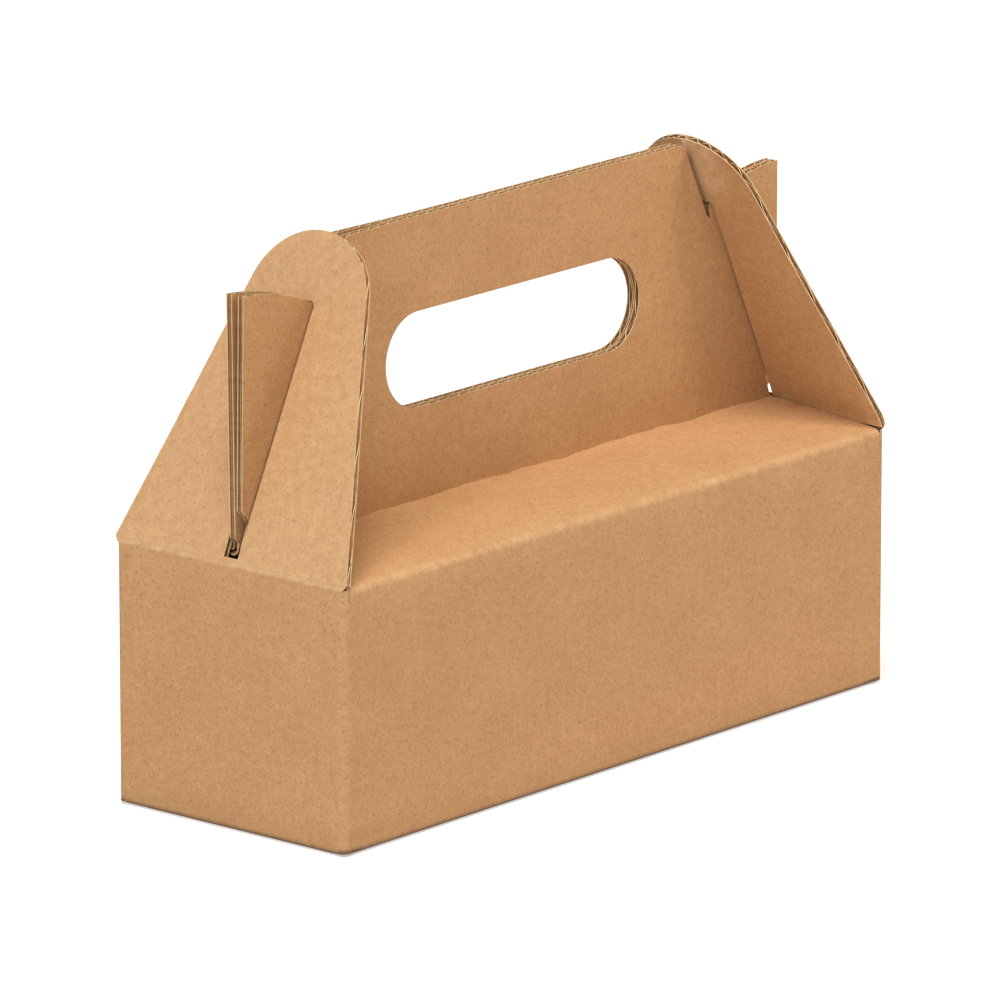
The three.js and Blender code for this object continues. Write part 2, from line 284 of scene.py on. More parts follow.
# %% Colour and relief of the paper
def paper_colour(tree, fibres, clouds, base, dark, light, fleck):
    crossed = add_node(tree, "ShaderNodeMath", {"operation": "MAXIMUM"},
                       {0: fibres[0], 1: fibres[3]}).outputs[0]
    darker = add_node(tree, "ShaderNodeMapRange", {"From Min": 0.57, "From Max": 0.77, "To Max": fleck},
                      {"Value": crossed}).outputs[0]
    lighter = add_node(tree, "ShaderNodeMapRange", {"From Min": 0.58, "From Max": 0.82, "To Max": 0.5 * fleck},
                       {"Value": fibres[1]}).outputs[0]
    cloud = add_node(tree, "ShaderNodeMix", {"data_type": "FLOAT", 0: 0.4},
                     {2: clouds[0], 3: clouds[1]}).outputs[0]
    tone = add_node(tree, "ShaderNodeValToRGB", {}, {"Fac": cloud})
    tone.color_ramp.elements[0].position, tone.color_ramp.elements[1].position = 0.3, 0.7
    for element, code in zip(tone.color_ramp.elements, base):
        element.color = srgb(code)
    # Pale marks are the rub of the paper plus a painted highlight on creases and corners. Dark marks are soil
    # spots plus a painted contact shadow along the bottom edges.
    wear_and_highlight = add_node(tree, "ShaderNodeAttribute", {"attribute_name": "wear_and_highlight"}).outputs["Fac"]
    rub_and_highlight = add_node(tree, "ShaderNodeMath", {"operation": "MULTIPLY"},
                      {0: wear_and_highlight, 1: clouds[0]}).outputs[0]
    soil_and_shadow = add_node(tree, "ShaderNodeAttribute", {"attribute_name": "soil_and_shadow"}).outputs["Fac"]
    colour = tone.outputs[0]
    for amount, code in ((darker, dark), (lighter, light), (rub_and_highlight, RUB_AND_HIGHLIGHT_COLOUR), (soil_and_shadow, SOIL_AND_SHADOW_COLOUR)):
        colour = add_node(tree, "ShaderNodeMix", {"data_type": "RGBA", 7: srgb(code)},
                          {0: amount, 6: colour}).outputs[2]
    return colour


def paper_relief(tree, sheet, fibres, clouds, flute_print):
    relief = add_node(tree, "ShaderNodeMath", {"operation": "ADD"},
                      {0: fibres[2], 1: clouds[0]}).outputs[0]
    if flute_print:
        across = add_node(tree, "ShaderNodeSeparateXYZ", {}, {0: sheet}).outputs[0]
        turns = add_node(tree, "ShaderNodeMath", {"operation": "MULTIPLY", 1: 2 * math.pi / (PITCH * MM)},
                         {0: across}).outputs[0]
        ridge = add_node(tree, "ShaderNodeMath", {"operation": "SINE"}, {0: turns}).outputs[0]
        relief = add_node(tree, "ShaderNodeMath", {"operation": "MULTIPLY_ADD", 1: flute_print},
                          {0: ridge, 2: relief}).outputs[0]
    return add_node(tree, "ShaderNodeBump", {"Strength": 0.35, "Distance": 0.00006},
                    {"Height": relief}).outputs[0]


# %% The three papers
def kraft_paper(name, base, dark, light, fleck, flute_print=0.0):
    material, tree = new_material(name)
    sheet = add_node(tree, "ShaderNodeUVMap", {"uv_map": "sheet"}).outputs[0]
    fibres, clouds = noise_textures(tree, sheet)
    colour = paper_colour(tree, fibres, clouds, base, dark, light, fleck)
    bump = paper_relief(tree, sheet, fibres, clouds, flute_print)
    rough = add_node(tree, "ShaderNodeMapRange", {"To Min": 0.8, "To Max": 0.92},
                     {"Value": fibres[2]}).outputs[0]
    shader = add_node(tree, "ShaderNodeBsdfPrincipled", {"IOR": 1.5, "Specular IOR Level": 0.25},
                      {"Base Color": colour, "Normal": bump, "Roughness": rough}).outputs[0]
    add_node(tree, "ShaderNodeOutputMaterial", {}, {"Surface": shader})
    return material


liner_paper = kraft_paper("unbleached_kraft_liner", ("#b98b5e", "#cb9e70"), "#96683d", "#dfbb8e", 1.0, 0.5)
cut_paper = kraft_paper("knife_cut_kraft_edge", ("#cfa778", "#ecd0a4"), "#a87d50", "#f3dcb6", 0.6)
flute_paper = kraft_paper("recycled_fluting_paper", ("#936a43", "#a97d52"), "#6c4a2c", "#bd9467", 0.7)
print("materials:", liner_paper.name, cut_paper.name, flute_paper.name)

# %% [markdown]
# ## The wavy sheet
# Corrugated board is made by pressing damp paper between geared rolls. Geometry Nodes do the same to a
# flat mesh: one tree lifts it by a sine wave, lets the waves lean and crush a little, as real flutes do
# beside a knife cut, and gives the paper its thickness. The faces on the cut take the paler edge paper.
# A wave modifier could lift the sheet too, but it can't crush single flutes.


# %% Corrugating tree
def corrugating_rolls():
    tree = bpy.data.node_groups.new("corrugating_rolls", "GeometryNodeTree")
    face = tree.interface
    face.new_socket("Sheet", in_out="INPUT", socket_type="NodeSocketGeometry")
    for name, value in (("Pitch", PITCH * MM), ("Amplitude", WAVE * MM), ("Thickness", PAPER * MM),
                        ("Crush", 0.35), ("Phase", 0.0)):
        face.new_socket(name, in_out="INPUT", socket_type="NodeSocketFloat").default_value = value
    face.new_socket("Sheet", in_out="OUTPUT", socket_type="NodeSocketGeometry")
    given = add_node(tree, "NodeGroupInput").outputs

    def maths(operation, a, b=None, c=None):
        settings, links = {"operation": operation}, {}
        for slot, value in enumerate((a, b, c)):
            if value is not None:
                (settings if isinstance(value, (int, float)) else links)[slot] = value
        return add_node(tree, "ShaderNodeMath", settings, links).outputs[0]

    place = add_node(tree, "GeometryNodeInputPosition").outputs[0]
    x = add_node(tree, "ShaderNodeSeparateXYZ", {}, {0: place}).outputs[0]
    uneven = add_node(tree, "ShaderNodeTexNoise", {"noise_dimensions": "4D", "W": 3.0, "Scale": 160.0},
                      {"Vector": place}).outputs[0]
    turn = maths("MULTIPLY_ADD", maths("DIVIDE", x, given["Pitch"]), 2 * math.pi, given["Phase"])
    leaned = maths("ADD", turn, maths("MULTIPLY", maths("SUBTRACT", uneven, 0.5), 1.6))
    crushed = maths("SUBTRACT", 1.0, maths("MULTIPLY", given["Crush"], maths("MULTIPLY", uneven, uneven)))
    lift = maths("MULTIPLY", maths("MULTIPLY", maths("SINE", leaned), given["Amplitude"]), crushed)
    offset = add_node(tree, "ShaderNodeCombineXYZ", {}, {2: lift}).outputs[0]
    wavy = add_node(tree, "GeometryNodeSetPosition", {},
                    {"Geometry": given["Sheet"], "Offset": offset}).outputs[0]
    half = maths("MULTIPLY", given["Thickness"], -0.5)
    normal = add_node(tree, "GeometryNodeInputNormal").outputs[0]
    sunk = add_node(tree, "ShaderNodeVectorMath", {"operation": "SCALE"},
                    {0: normal, "Scale": half}).outputs[0]
    under = add_node(tree, "GeometryNodeSetPosition", {}, {"Geometry": wavy, "Offset": sunk}).outputs[0]
    over = add_node(tree, "GeometryNodeExtrudeMesh", {"Individual": False},
                    {"Mesh": under, "Offset Scale": given["Thickness"]}).outputs
    back = add_node(tree, "GeometryNodeFlipFaces", {}, {0: under}).outputs[0]
    both = add_node(tree, "GeometryNodeJoinGeometry", {}, {0: over["Mesh"]})
    tree.links.new(back, both.inputs[0])
    closed = add_node(tree, "GeometryNodeMergeByDistance", {"Distance": 1e-7},
                      {0: both.outputs[0]}).outputs[0]
    real = add_node(tree, "GeometryNodeRealizeInstances", {}, {0: closed}).outputs[0]
    painted = add_node(tree, "GeometryNodeSetMaterial", {"Material": flute_paper}, {0: real}).outputs[0]
    painted = add_node(tree, "GeometryNodeSetMaterial", {"Material": cut_paper},
                       {"Geometry": painted, "Selection": over["Side"]}).outputs[0]
    tree.links.new(painted, add_node(tree, "NodeGroupOutput").inputs[0])
    return tree


rolls = corrugating_rolls()
roll_inputs = {item.name: item.identifier for item in rolls.interface.items_tree if item.in_out == "INPUT"}
print("corrugating inputs:", sorted(roll_inputs))

# %% [markdown]
# ## From flat sheet to piece
# Each sheet of paper is a closed shell with its own thickness, so that liner, wave and liner all show at
# a cut edge. A solidify modifier would give the thickness too, but here the folding rule itself places
# both faces, so they stay concentric in every bend. The narrow faces round the outline are where the
# knife went, and take the paler paper.


# %% One flat sheet of paper, folded
def link(mesh, name):
    piece = bpy.data.objects.new(name, mesh)
    bpy.context.scene.collection.objects.link(piece)
    return piece


def outward(bm):
    if bm.calc_volume(signed=True) < 0:
        bmesh.ops.reverse_faces(bm, faces=bm.faces)


def paper_shell(name, flat, place, low, high, wear_and_light=None):
    verts, faces = flat
    used = sorted({i for face in faces for i in face})
    rank = {v: k for k, v in enumerate(used)}
    bm = bmesh.new()
    sheet = bm.loops.layers.uv.new("sheet")
    # Amounts of the pale marks (rub plus painted highlight) and the dark marks (soil plus painted contact
    # shadow).
    wear_and_highlight = bm.verts.layers.float.new("wear_and_highlight")
    soil_and_shadow = bm.verts.layers.float.new("soil_and_shadow")
    layers = []
    for n in (low, high):
        layer = []
        for i in used:
            u, s = verts[i]
            v = bm.verts.new(Vector(place(u, s, n)) * MM)
            v[wear_and_highlight], v[soil_and_shadow] = wear_and_light(u, s) if wear_and_light else (0.0, 0.0)
            layer.append(v)
        layers.append(layer)
    bm.verts.index_update()
    count = {}
    for face in faces:
        for a, b in zip(face, face[1:] + face[:1]):
            count[(min(a, b), max(a, b))] = count.get((min(a, b), max(a, b)), 0) + 1
    for face in faces:
        ids = [rank[i] for i in face]
        for layer, order in ((layers[1], ids), (layers[0], ids[::-1])):
            made = bm.faces.new([layer[i] for i in order])
            made.smooth = True
            for loop, i in zip(made.loops, order):
                loop[sheet].uv = (verts[used[i]][0] * MM, verts[used[i]][1] * MM)
        for a, b in zip(face, face[1:] + face[:1]):
            if count[(min(a, b), max(a, b))] == 1:
                ra, rb = rank[a], rank[b]
                made = bm.faces.new([layers[0][ra], layers[0][rb], layers[1][rb], layers[1][ra]])
                made.material_index = 1
                for loop, (i, lift) in zip(made.loops, ((a, 0), (b, 0), (b, 1), (a, 1))):
                    loop[sheet].uv = ((verts[i][0] + lift * LINER) * MM, (verts[i][1] + lift * LINER) * MM)
    for edge in bm.edges:
        if any(face.material_index for face in edge.link_faces):
            edge.smooth = False
    outward(bm)
    mesh = bpy.data.meshes.new(name)
    bm.to_mesh(mesh)
    bm.free()
    mesh.materials.append(liner_paper)
    mesh.materials.append(cut_paper)
    return link(mesh, name)


# %% The wavy sheet, folded with it
def wavy_sheet(name, flat, place, phase):
    verts, faces = flat
    mesh = bpy.data.meshes.new(name)
    mesh.from_pydata([(u * MM, s * MM, 0.0) for u, s in verts], [], faces)
    piece = link(mesh, name)
    bm = bmesh.new()
    bm.from_mesh(mesh)
    bmesh.ops.delete(bm, geom=[v for v in bm.verts if not v.link_faces], context="VERTS")
    bmesh.ops.recalc_face_normals(bm, faces=bm.faces)
    bm.faces.ensure_lookup_table()
    for face in bm.faces:
        if face.normal.z < 0:
            face.normal_flip()
    bm.to_mesh(mesh)
    bm.free()
    modifier = piece.modifiers.new("corrugate", "NODES")
    modifier.node_group = rolls
    modifier[roll_inputs["Phase"]] = phase
    view = bpy.context.evaluated_depsgraph_get()
    made = bpy.data.meshes.new_from_object(piece.evaluated_get(view))
    piece.modifiers.remove(modifier)
    bm = bmesh.new()
    bm.from_mesh(made)
    sheet = bm.loops.layers.uv.new("sheet")
    for face in bm.faces:
        for loop in face.loops:
            loop[sheet].uv = loop.vert.co.xy
    for v in bm.verts:
        v.co = Vector(place(*(v.co / MM))) * MM
    outward(bm)
    bm.to_mesh(made)
    bm.free()
    piece.data = made
    made.name = name
    return piece


# %% Liner, flutes and liner of one run of panels
LINER_STEP, FLUTE_STEP = 6.0, 15.0  # between rows on flat panels
FLUTE_COLUMNS = PITCH / 8


def make_board(name, loops, bends, columns, place, wear_and_light, phase, body="box", node="box_body"):
    low, high = (pick(s for _, s in loops[0]) for pick in (min, max))
    first, last = (pick(u for u, _ in loops[0]) for pick in (min, max))
    flat = flat_mesh(loops, rows_for(bends, low, high, LINER_STEP)[1:-1], columns)
    fluted = flat_mesh(loops, rows_for(bends, low, high, FLUTE_STEP)[1:-1],
                       spread(first, last, FLUTE_COLUMNS)[1:-1])
    made = [
        paper_shell(f"{name}_outer_liner", flat, place, BOARD / 2 - LINER, BOARD / 2, wear_and_light),
        paper_shell(f"{name}_inner_liner", flat, place, -BOARD / 2, LINER - BOARD / 2, wear_and_light),
        wavy_sheet(f"{name}_flutes", fluted, place, phase),
    ]
    for piece in made:
        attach(piece, body)
        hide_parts(node)
    triangles = sum(sum(len(p.vertices) - 2 for p in piece.data.polygons) for piece in made)
    print(f"{name}: {last - first:.1f} x {high - low:.1f} mm flat, {triangles} triangles")
    return made


# %% [markdown]
# ## Front and back
# Each long side is one strip: bottom flap, wall, roof panel and handle board. The handle board carries
# the hand hole and, at each end, a wing whose top edge is an arc about the gable flap's own fold, which
# is why the flap's slot can swing down over it. The front bottom flap has a tongue, which hooks into the
# other flaps as a snap-lock bottom does.


# %% Outline of a handle board's end
def smooth(t):
    t = max(0.0, min(1.0, t))
    return t * t * (3 - 2 * t)


def flap_inside(z):
    return HALF_LENGTH - (z - HEIGHT) * math.tan(LEAN) - BOARD / math.cos(LEAN) - 0.3


def handle_end(foot, reach, inset, gap, out):
    start = max(FOLD_TOP + 0.4, HEIGHT + foot - 2.4)
    tail = HALF_LENGTH - inset
    # From the roof upwards: the wing's foot, its arc, the V behind its tip, and the handle's own end.
    side = [(flap_inside(start) + out, start), (tail - 1.2, HEIGHT + foot), (tail, HEIGHT + foot + 1.2)]
    first, last = math.pi / 2 + math.asin(inset / reach), math.pi / 2 + LEAN - 0.0094
    for k in range(17):
        angle = first + (last - first) * k / 16
        side.append((HALF_LENGTH + reach * math.cos(angle), HEIGHT + reach * math.sin(angle)))
    tip = side[-1]
    floor = tip[1] - 4.2

    def end(z):
        return flap_inside(z) - gap

    side += [(tip[0] - 1.2, tip[1] - 1.2), (end(floor) + 0.9, floor), (end(floor + 0.9), floor + 0.9)]
    side += [(end(HANDLE_TOP - 0.6), HANDLE_TOP - 0.6), (end(HANDLE_TOP) - 0.5, HANDLE_TOP)]
    return side


print("flap's inner face at the handle's top, mm:", round(flap_inside(HANDLE_TOP), 1))

# %% Hand hole
HOLE_RADIUS, HOLE_STRAIGHT, HOLE_MIDDLE = 10.85, 32.65, 94.9


def hand_hole(top):
    loop = []
    for centre, start in ((HOLE_STRAIGHT, -0.5), (-HOLE_STRAIGHT, 0.5)):
        for k in range(25):
            angle = math.pi * (start + k / 24)
            loop.append((centre + HOLE_RADIUS * math.cos(angle),
                         top - (HANDLE_TOP - HOLE_MIDDLE) + HOLE_RADIUS * math.sin(angle)))
    return loop


print("hand hole, mm:", 2 * (HOLE_STRAIGHT + HOLE_RADIUS), "x", 2 * HOLE_RADIUS)


# %% [markdown]
# ### How the boards have sprung
# A folded box is never quite true. The left end of the two handle boards stands open by 1.7 mm, the roof
# is bowed by the board's own stiffness, and the inner fold wanders. Moving points by hand would do, but
# slow noise and one bow curve for each panel keep it repeatable.


# %% Spring of the handle boards, and slow noise
def flare(x, z):
    return 0.85 * smooth((-x - 36) / 22) * max(0.0, min(1.0, (z - FOLD_TOP) / 64.3))


def drift(x, z, size, seed):
    return noise.noise(Vector((x / size, z / size, seed)))


print("handle board's spring at its upper left end, mm:", round(flare(-90, HANDLE_TOP), 2))

# %% How far the front and back corners reach
ROUND_FROM = END - CORNER
CORNER_EDGE = ROUND_FROM + CORNER_RUN
SEAM_EDGE = 93.3  # the raw edge of the back wall
TONGUE, SLIT = 37.2, 37.4  # half width of the tongue, and the cut beside it
LOW_UPRIGHT, HIGH_UPRIGHT = 89.15, 91.65  # beyond these u, below 20 and below 61 mm, no crease bends the wall
print("a front panel with its corners, mm:", round(2 * CORNER_EDGE, 1))


# %% Where each point of a long side goes
def side_folding(side, line, hook, crease, fold, seam):
    def wall_s(z):
        return crease - (CREASE_Z - z) + 0.02

    def place(u, s, n):
        upright = abs(u) > LOW_UPRIGHT and s < wall_s(20) or abs(u) > HIGH_UPRIGHT and s < wall_s(61)
        if upright:
            a, z = WALL + n, s - wall_s(0)
        else:
            point, way = (hook if abs(u) < TONGUE and s < 0 else line)(s)
            a, z = point.x + n * way.x, point.y + n * way.y
        x = u
        reach = abs(u) - ROUND_FROM
        if reach > 0 and upright and not (seam and u > 0):
            angle = min(reach / CORNER, math.pi / 2)
            radius = CORNER + a - WALL
            x = math.copysign(ROUND_FROM + radius * math.sin(angle), u)
            a = WALL - CORNER + radius * math.cos(angle)
        if s > fold - 2:
            up = smooth((s - fold + 2) / 12)
            y = side * (a + flare(x, z)) + 0.25 * up * drift(x, z, 55, 3)
        elif s > crease:
            t = (s - crease) / (fold - crease)
            bow = 4 * t * (1 - t)
            z += bow * (0.9 + 0.9 * drift(x, 0, 60, 9 + side) - 0.006 * (x - 20))
            y = side * a
        else:
            t = max(0.0, min(1.0, s / crease))
            panel = 4 * t * (1 - t) * smooth((ROUND_FROM - abs(u)) / 12)
            y = side * (a + panel * (0.35 * drift(x, z, 40, 5 + side) - 0.1))
        near = math.exp(-((s - fold) / 3.0) ** 2)
        z += near * (0.9 * drift(x, 0, 7, 20 + side) + 0.8 * drift(x, 0, 26, 40 + side))
        return x, y, z

    return place, wall_s


# %% Rubbed creases with painted highlight, soil spots at the corners, and a painted contact shadow
# Each spot of soil: u, z, radius and amount.
SOILED_SPOTS = ((-89.5, 3.5, 2.2, 0.25), (90.5, 56.0, 2.4, 0.3), (91.5, 3.0, 1.2, 0.3))


def side_wear_and_light(side, crease, wall_s):
    def wear_and_light(u, s):
        # Paler along the top crease and the upright corners: partly rub of the liner, partly a painted
        # highlight where the rounded folds catch the light.
        wear_and_highlight = 0.55 * math.exp(-((s - crease) / 0.7) ** 2) * (0.6 + 0.8 * drift(u, 0, 6, 11))
        wear_and_highlight += 0.12 * math.exp(-((abs(u) - 92.3) / 0.9) ** 2) * (s < crease)
        soil_and_shadow = 0.0
        if side < 0:
            z = s - wall_s(0)
            for cu, cz, radius, much in SOILED_SPOTS:
                near = max(0.0, 1 - math.hypot(u - cu, z - cz) / radius)
                soil_and_shadow += much * near * (1 + drift(u, z, 0.8, 3))
        # A dark line along the bottom crease: painted contact shadow where the box meets the floor.
        soil_and_shadow += 0.85 * math.exp(-((s + 0.1) / 0.55) ** 2)
        return max(0.0, min(1.0, wear_and_highlight)), max(0.0, min(1.0, soil_and_shadow))

    return wear_and_light


# %% Outline of a long side
def side_outline(marks, tongue_tip, foot, seam, wall_s):
    crease, fold, top = marks[-3:]
    free = marks[0] if tongue_tip is None else -(WALL + 12.75) + 0.25
    # Up the right side: the bottom flap's end, the wall's corner, a notch under the gable flap, the roof.
    right = [(87.0, free), (87.0, -8.0), (89.0, -1.5), (89.0, wall_s(0.6))]
    edge = SEAM_EDGE if seam else CORNER_EDGE
    right += [(edge, wall_s(0.6)), (edge, wall_s(59.75)), (91.75, wall_s(59.75)), (91.75, wall_s(56.8))]
    right += [(91.55, wall_s(56.8)), (91.55, crease), (flap_inside(FOLD_TOP) - 0.1, fold)]
    left = [(-u, s) for u, s in right]
    if seam:
        left = [(-CORNER_EDGE if abs(u + edge) < 1e-6 else u, s) for u, s in left]
    right[-1] = (right[-1][0] + 0.85, fold)
    left += [(-x, top - (HANDLE_TOP - z)) for x, z in handle_end(foot, 59.9, 2.6, 2.6, 0.0)]
    right += [(x, top - (HANDLE_TOP - z)) for x, z in handle_end(foot, 58.0, 0.9, 0.9, 1.1)]
    if tongue_tip is None:
        middle = [(-37.3, free), (-37.3, free + 22), (37.3, free + 22), (37.3, free)]
    else:
        slit = -(WALL + 5.75)
        middle = [(-SLIT, free), (-SLIT, slit), (-37.0, slit), (-36.0, tongue_tip), (36.0, tongue_tip),
                  (37.0, slit), (SLIT, slit), (SLIT, free)]
    return middle + right + left[::-1]


# %% Front and back panels
def strip(name, side, bottom, tongue, foot, seam):
    line, marks, bends = bent_line(bottom + [(WALL, CREASE_Z), (APART, FOLD_TOP - 0.8), (APART, HANDLE_TOP)],
                                   len(bottom) - 1)
    crease, fold, top = marks[-3:]
    hook, tongue_tip = line, None
    if tongue:
        hook, hook_marks, hook_bends = bent_line(tongue + [(WALL, HEIGHT)], len(tongue) - 1)
        tongue_tip = hook_marks[0]
        bends += [bend for bend in hook_bends if bend[1] < -10]
    place, wall_s = side_folding(side, line, hook, crease, fold, seam)
    loops = [side_outline(marks, tongue_tip, foot, seam, wall_s), hand_hole(top)]
    arc = spread(ROUND_FROM, CORNER_EDGE, 0.26)[1:-1]
    columns = sorted(spread(-91, 91, 5.0) + arc + [-c for c in arc])
    wear_and_light = side_wear_and_light(side, crease, wall_s)
    return make_board(name, loops, sorted(bends), columns, place, wear_and_light, 1.3 * side)


strip("front_panels", -1, [(-12.75, 0.8), (WALL, 0.8)],
      [(-23.75, 6.5), (-14.75, 6.5), (-5.75, 0.8), (WALL, 0.8)], 10.6, False)
strip("back_panels", 1, [(-6.75, 4.6), (26.25, 4.6), (WALL, -0.1)], None, 4.2, True)

# %% [markdown]
# ## End walls
# Each end is a wall with a dust flap folded under it, inside the box. At the back right corner the sheet
# closes on itself: the end wall turns a tab behind the back wall, and the back wall's raw edge shows.
# The same folding rule makes them, with a second bend across for the tab.

# %% Where each point of an end wall goes
TAB_FROM = WALL - BOARD - CORNER  # where the right end turns into the glue tab
TAB = 18.0
STRAIGHT = WALL - CORNER  # half width of an end wall between its corners


def end_folding(side, line):
    def place(u, s, n):
        point, way = line(s)
        a, z = point.x + n * way.x, point.y + n * way.y
        y = u
        if side > 0 and u > TAB_FROM:
            angle = (u - TAB_FROM) / CORNER
            radius = CORNER + a - END
            if angle < math.pi / 2:
                y = TAB_FROM + radius * math.sin(angle)
                a = END - CORNER + radius * math.cos(angle)
            else:
                y = TAB_FROM + radius
                a = END - CORNER - (u - TAB_FROM - CORNER_RUN)
        elif s > 2:
            t = max(0.0, min(1.0, z / HEIGHT))
            panel = 4 * t * (1 - t) * smooth((STRAIGHT - abs(u)) / 10)
            a += panel * (0.3 * drift(u, z, 30, 7 + side) - 0.1)
        return side * a, y, z

    return place


# %% End walls
def end_wall(name, side):
    corners = [(59.5, 2.7), (87.0, 2.7), (90.4, 0.85), (END, 0.85), (END, HEIGHT)]
    line, marks, bends = bent_line(corners, 3, 0.82)
    tip, top = marks[0], marks[-1]

    def wall_s(z):
        return top - (HEIGHT - z)

    def wear_and_light(u, s):
        # A paler line along the top edge, at the flap's fold: rub of the crease plus a painted highlight.
        wear_and_highlight = 0.3 * math.exp(-((s - wall_s(0) - 59.6) / 0.6) ** 2) * (0.6 + 0.9 * drift(u, 3, 4, 12))
        # The second value is a dark line along the bottom crease: painted contact shadow where the wall meets
        # the floor.
        return max(0.0, min(1.0, wear_and_highlight)), 0.85 * math.exp(-((s + 0.1) / 0.5) ** 2)

    edge = STRAIGHT + 0.01
    # The dust flap's tip and side, then the wall's lower and upper corner, and down again on the left.
    right = [(20.0, tip), (25.0, tip + 12), (25.0, wall_s(0.9)), (edge, wall_s(0.9)), (edge, wall_s(59.0))]
    left = [(-edge, wall_s(59.0)), (-edge, wall_s(0.9)), (-29.0, wall_s(0.9))]
    left += [(-29.0, tip + 14), (-19.0, tip)]
    columns = spread(-29, 28, 4.0)
    if side > 0:
        turned = TAB_FROM + CORNER_RUN
        far = turned + TAB
        right = right[:3] + [(TAB_FROM, wall_s(0.9)), (turned, wall_s(4)), (far, wall_s(8)),
                             (far, wall_s(52)), (turned, wall_s(58)), (TAB_FROM, wall_s(59.0))]
        columns += spread(TAB_FROM, turned, 0.26)
    return make_board(name, [right + left], bends, columns, end_folding(side, line), wear_and_light, 0.7)


end_wall("left_end", -1)
end_wall("right_end", 1)

# %% [markdown]
# ## Gable flaps
# A gable flap is a tongue-shaped panel on top of each end wall. It leans in on the slanted ends of the
# roof, and its slot holds the two wings. The left one has curled out a little at its edges, and the right
# one stands 0.9 mm further out. Each flap moves on its own body.

# %% Where each point of a gable flap goes
FLAP_FOOT, HEAD, HEAD_RADIUS = 1.3, 59.0, 17.0
FOOT_BEND = (1.6, 5.2)  # rows lie close here, where the right flap steps outwards


def flap_place(side, curl):
    inward, up = math.sin(LEAN), math.cos(LEAN)
    shove = 0.9 if side > 0 else 0.0

    def place(u, r, n):
        bend = curl * smooth((r - 20) / 60) * (u / HALF_WIDTH) ** 2
        out = n - BOARD / 2 + bend + 0.2 * smooth(r / 20) * drift(u, r, 35, 2 + side)
        a = HALF_LENGTH - r * inward + out * up + shove * smooth(r / 4)
        return side * a, u, HEIGHT + r * up + out * inward

    return place


print("left flap's foot and tip, mm:", [round(c, 1) for r in (FLAP_FOOT, HEAD + HEAD_RADIUS)
                                         for c in flap_place(-1, 0.0)(0, r, 0)])


# %% Gable flaps
def gable_flap(name, side, curl, pale):
    tangent = -math.atan2(HEAD, HALF_WIDTH) + math.acos(HEAD_RADIUS / math.hypot(HALF_WIDTH, HEAD))
    outline = [(HALF_WIDTH + 0.3, FLAP_FOOT), (HALF_WIDTH - 0.2, 3.0)]
    for k in range(29):
        angle = tangent + (math.pi - 2 * tangent) * k / 28
        outline.append((HEAD_RADIUS * math.cos(angle), HEAD + HEAD_RADIUS * math.sin(angle)))
    outline += [(0.2 - HALF_WIDTH, 3.0), (-HALF_WIDTH - 0.3, FLAP_FOOT)]
    base, reach = (3.4, 58.6) if side > 0 else (1.7, 60.2)
    slot = [(-2.05, base), (-2.9, reach - 0.8), (-2.1, reach)]
    slot += [(-u, r) for u, r in slot[::-1]]

    def wear_and_light(u, r):
        wear_and_highlight = pale + 0.3 * math.exp(-((r - 1) / 0.5) ** 2)
        if side > 0:
            rub = smooth((r - 58) / 4) * smooth((u + 9) / 2) * smooth((1 - u) / 2)
            wear_and_highlight += rub * (0.75 + 0.5 * drift(u, 0.05 * r, 0.8, 51))
        return min(1.0, wear_and_highlight), 0.0

    return make_board(name, [outline, slot], [FOOT_BEND], spread(-31, 31, 4.0), flap_place(side, curl),
                      wear_and_light, 0.4, name, f"{name[:-5]}_gable_flap")


gable_flap("left_flap", -1, 0.3, 0.3)
gable_flap("right_flap", 1, -0.9, 0.1)

# %% [markdown]
# ## The folds that move
# When a gable flap opens, only the outer liner crosses the fold and bends. A bone with weights painted by
# hand would do it. Here a narrow strip of the outer liner runs from the end wall's upper edge to the
# flap's foot.


# %% Gable flap folds
def flap_fold(side, body, node, pale):
    flap = flap_place(side, 0.0)

    def place(u, s, n):
        return flap(u, s, n) if s > 0 else (side * (END + n), u, HEIGHT + s)

    def wear_and_light(u, s):
        wrinkle = (0.5 + 0.9 * drift(u, 0.3 * s, 2.5, 31)) * math.exp(-((s / 0.4) ** 2))
        return max(0.0, min(1.0, wrinkle + pale * smooth(s + 0.3))), 0.0

    rows = [-1.0, -0.6, -0.3, 0.0, 0.3, 0.6, 1.0, FLAP_FOOT]
    edge = [(-STRAIGHT, -1.0), (STRAIGHT, -1.0), (HALF_WIDTH - 0.4, 0.0), (HALF_WIDTH + 0.3, FLAP_FOOT)]
    edge += [(-HALF_WIDTH - 0.3, FLAP_FOOT), (0.4 - HALF_WIDTH, 0.0)]
    flat = flat_mesh([edge], rows, spread(-30, 30, 1.5), 1.5)
    piece = paper_shell(f"{body}_fold", flat, place, BOARD / 2 - LINER, BOARD / 2, wear_and_light)
    foot, rise = Vector(place(0, -0.6, 0.6)) * MM, Vector(place(0, 0.9, 0.6)) * MM
    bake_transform(piece)
    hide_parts(node)
    print(piece.name, "blends from", [round(c / MM, 1) for c in foot], "to", [round(c / MM, 1) for c in rise])
    return piece


flap_fold(-1, "left_flap", "left_gable_flap", 0.3)
flap_fold(1, "right_flap", "right_gable_flap", 0.1)

# %% [markdown]
# ## Camera
# The camera stands where the photograph's did: 49.5 degrees to the left of the front and 14.6 degrees up,
# far off, with a long lens. A near camera with a short lens would show the same box with edges that run
# together, which the photograph's don't.

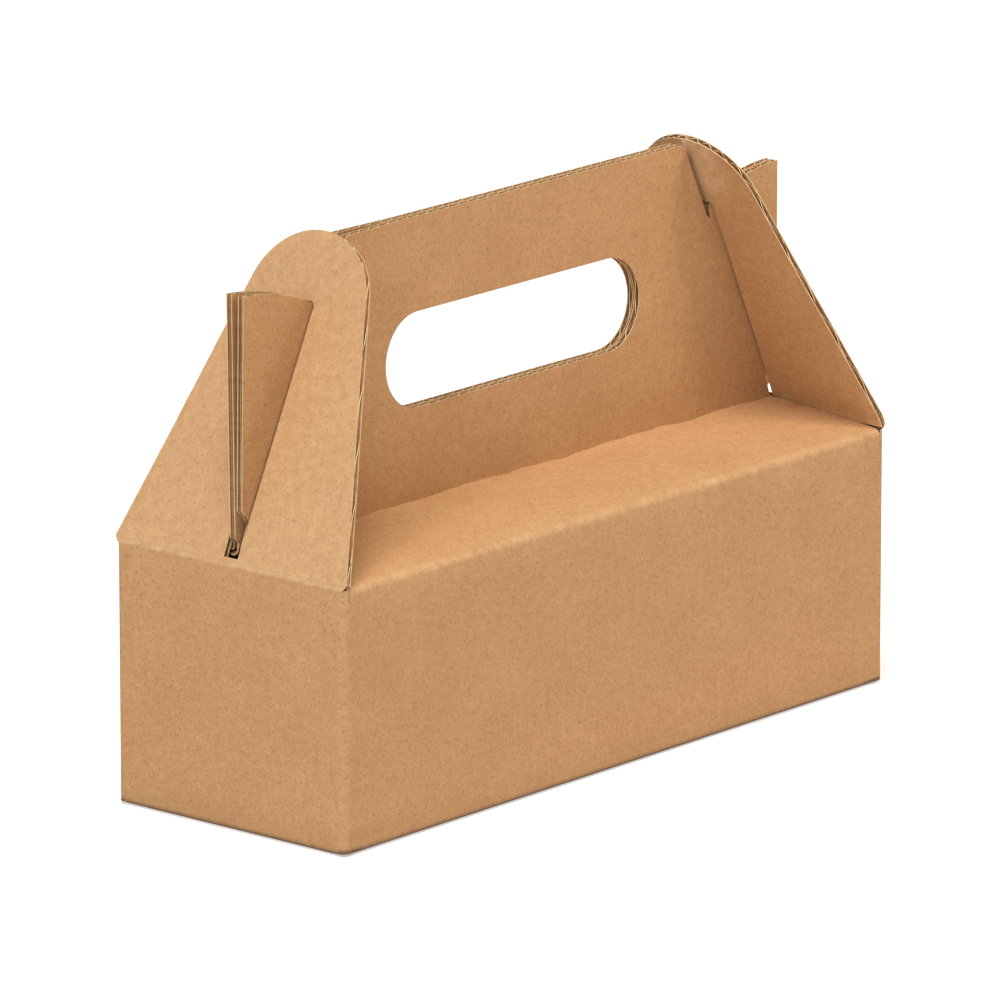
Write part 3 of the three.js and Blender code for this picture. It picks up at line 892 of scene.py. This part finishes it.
# %% Camera
AZIMUTH, ELEVATION, DISTANCE = math.radians(-49.528), math.radians(14.624), 2.434
target = Vector((0, 0, 0.06))
backwards = Vector((math.sin(AZIMUTH) * math.cos(ELEVATION), -math.cos(AZIMUTH) * math.cos(ELEVATION),
                    math.sin(ELEVATION)))
camera_data = bpy.data.cameras.new("camera")
camera_data.sensor_width, camera_data.lens = 36.0, 392.23134
camera_data.shift_x, camera_data.shift_y = -0.007942, -0.017424
camera_data.clip_end = 20
camera = bpy.data.objects.new("camera", camera_data)
camera.location = target + backwards * DISTANCE
camera.rotation_mode = "QUATERNION"
camera.rotation_quaternion = backwards.to_track_quat("Z", "Y")
bpy.context.scene.collection.objects.link(camera)
bpy.context.scene.camera = camera
print("camera at, m:", [round(c, 3) for c in camera.location])

# %% [markdown]
# ## Floor and light
# The box stands on a white sweep that is lit until it burns out, with almost no shadow. A glow that is
# stronger for camera rays makes the floor white while it lights the box from below only weakly. One broad
# soft light hangs nearly overhead, one stands high on the left, and a small warm one near the right lifts
# that end.

# %% White floor
FLOOR_Z = -0.00005  # just under the box, so that the two faces don't flicker
floor_material, floor_tree = new_material("white_studio_floor")
paper_white = add_node(floor_tree, "ShaderNodeBsdfDiffuse", {"Color": srgb("#dddddd")}).outputs[0]
seen = add_node(floor_tree, "ShaderNodeLightPath").outputs["Is Camera Ray"]
strength = add_node(floor_tree, "ShaderNodeMath", {"operation": "MULTIPLY_ADD", 1: 0.25, 2: 0.24},
                    {0: seen}).outputs[0]
glow = add_node(floor_tree, "ShaderNodeEmission", {"Color": (1, 1, 1, 1)},
                {"Strength": strength}).outputs[0]
both = add_node(floor_tree, "ShaderNodeAddShader", {}, {0: paper_white, 1: glow}).outputs[0]
add_node(floor_tree, "ShaderNodeOutputMaterial", {}, {"Surface": both})
floor_mesh = bpy.data.meshes.new("floor")
floor_corners = [(x, y, FLOOR_Z) for x, y in ((-6, -6), (6, -6), (6, 6), (-6, 6))]
floor_mesh.from_pydata(floor_corners, [], [(0, 1, 2, 3)])
floor_mesh.materials.append(floor_material)
floor = link(floor_mesh, "floor")
print("floor material:", floor_material.name)


# %% Lights and sky
def softbox(name, size, strength, place, colour):
    data = bpy.data.lights.new(name, "AREA")
    data.color = colour
    data.shape, data.size, data.energy = "DISK", size, strength
    lamp = bpy.data.objects.new(name, data)
    lamp.location = place
    lamp.rotation_mode = "QUATERNION"
    lamp.rotation_quaternion = (Vector(place) - target).to_track_quat("Z", "Y")
    bpy.context.scene.collection.objects.link(lamp)
    print(name, strength, "W")


softbox("overhead_softbox", 0.8, 25.2, (-0.5, -0.35, 1.98), (1.0, 0.97, 0.93))
softbox("left_softbox", 0.4, 13.8, (-1.6, -0.35, 1.35), (1.0, 0.99, 0.97))
softbox("near_right_softbox", 0.3, 2.4, (0.45, -0.55, 0.6), (1.0, 0.86, 0.7))
world = bpy.data.worlds.new("white_room")
world.use_nodes = True
world.node_tree.nodes["Background"].inputs[0].default_value = (1, 1, 1, 1)
world.node_tree.nodes["Background"].inputs[1].default_value = 0.28
bpy.context.scene.world = world
bpy.context.scene.view_settings.view_transform = "Standard"
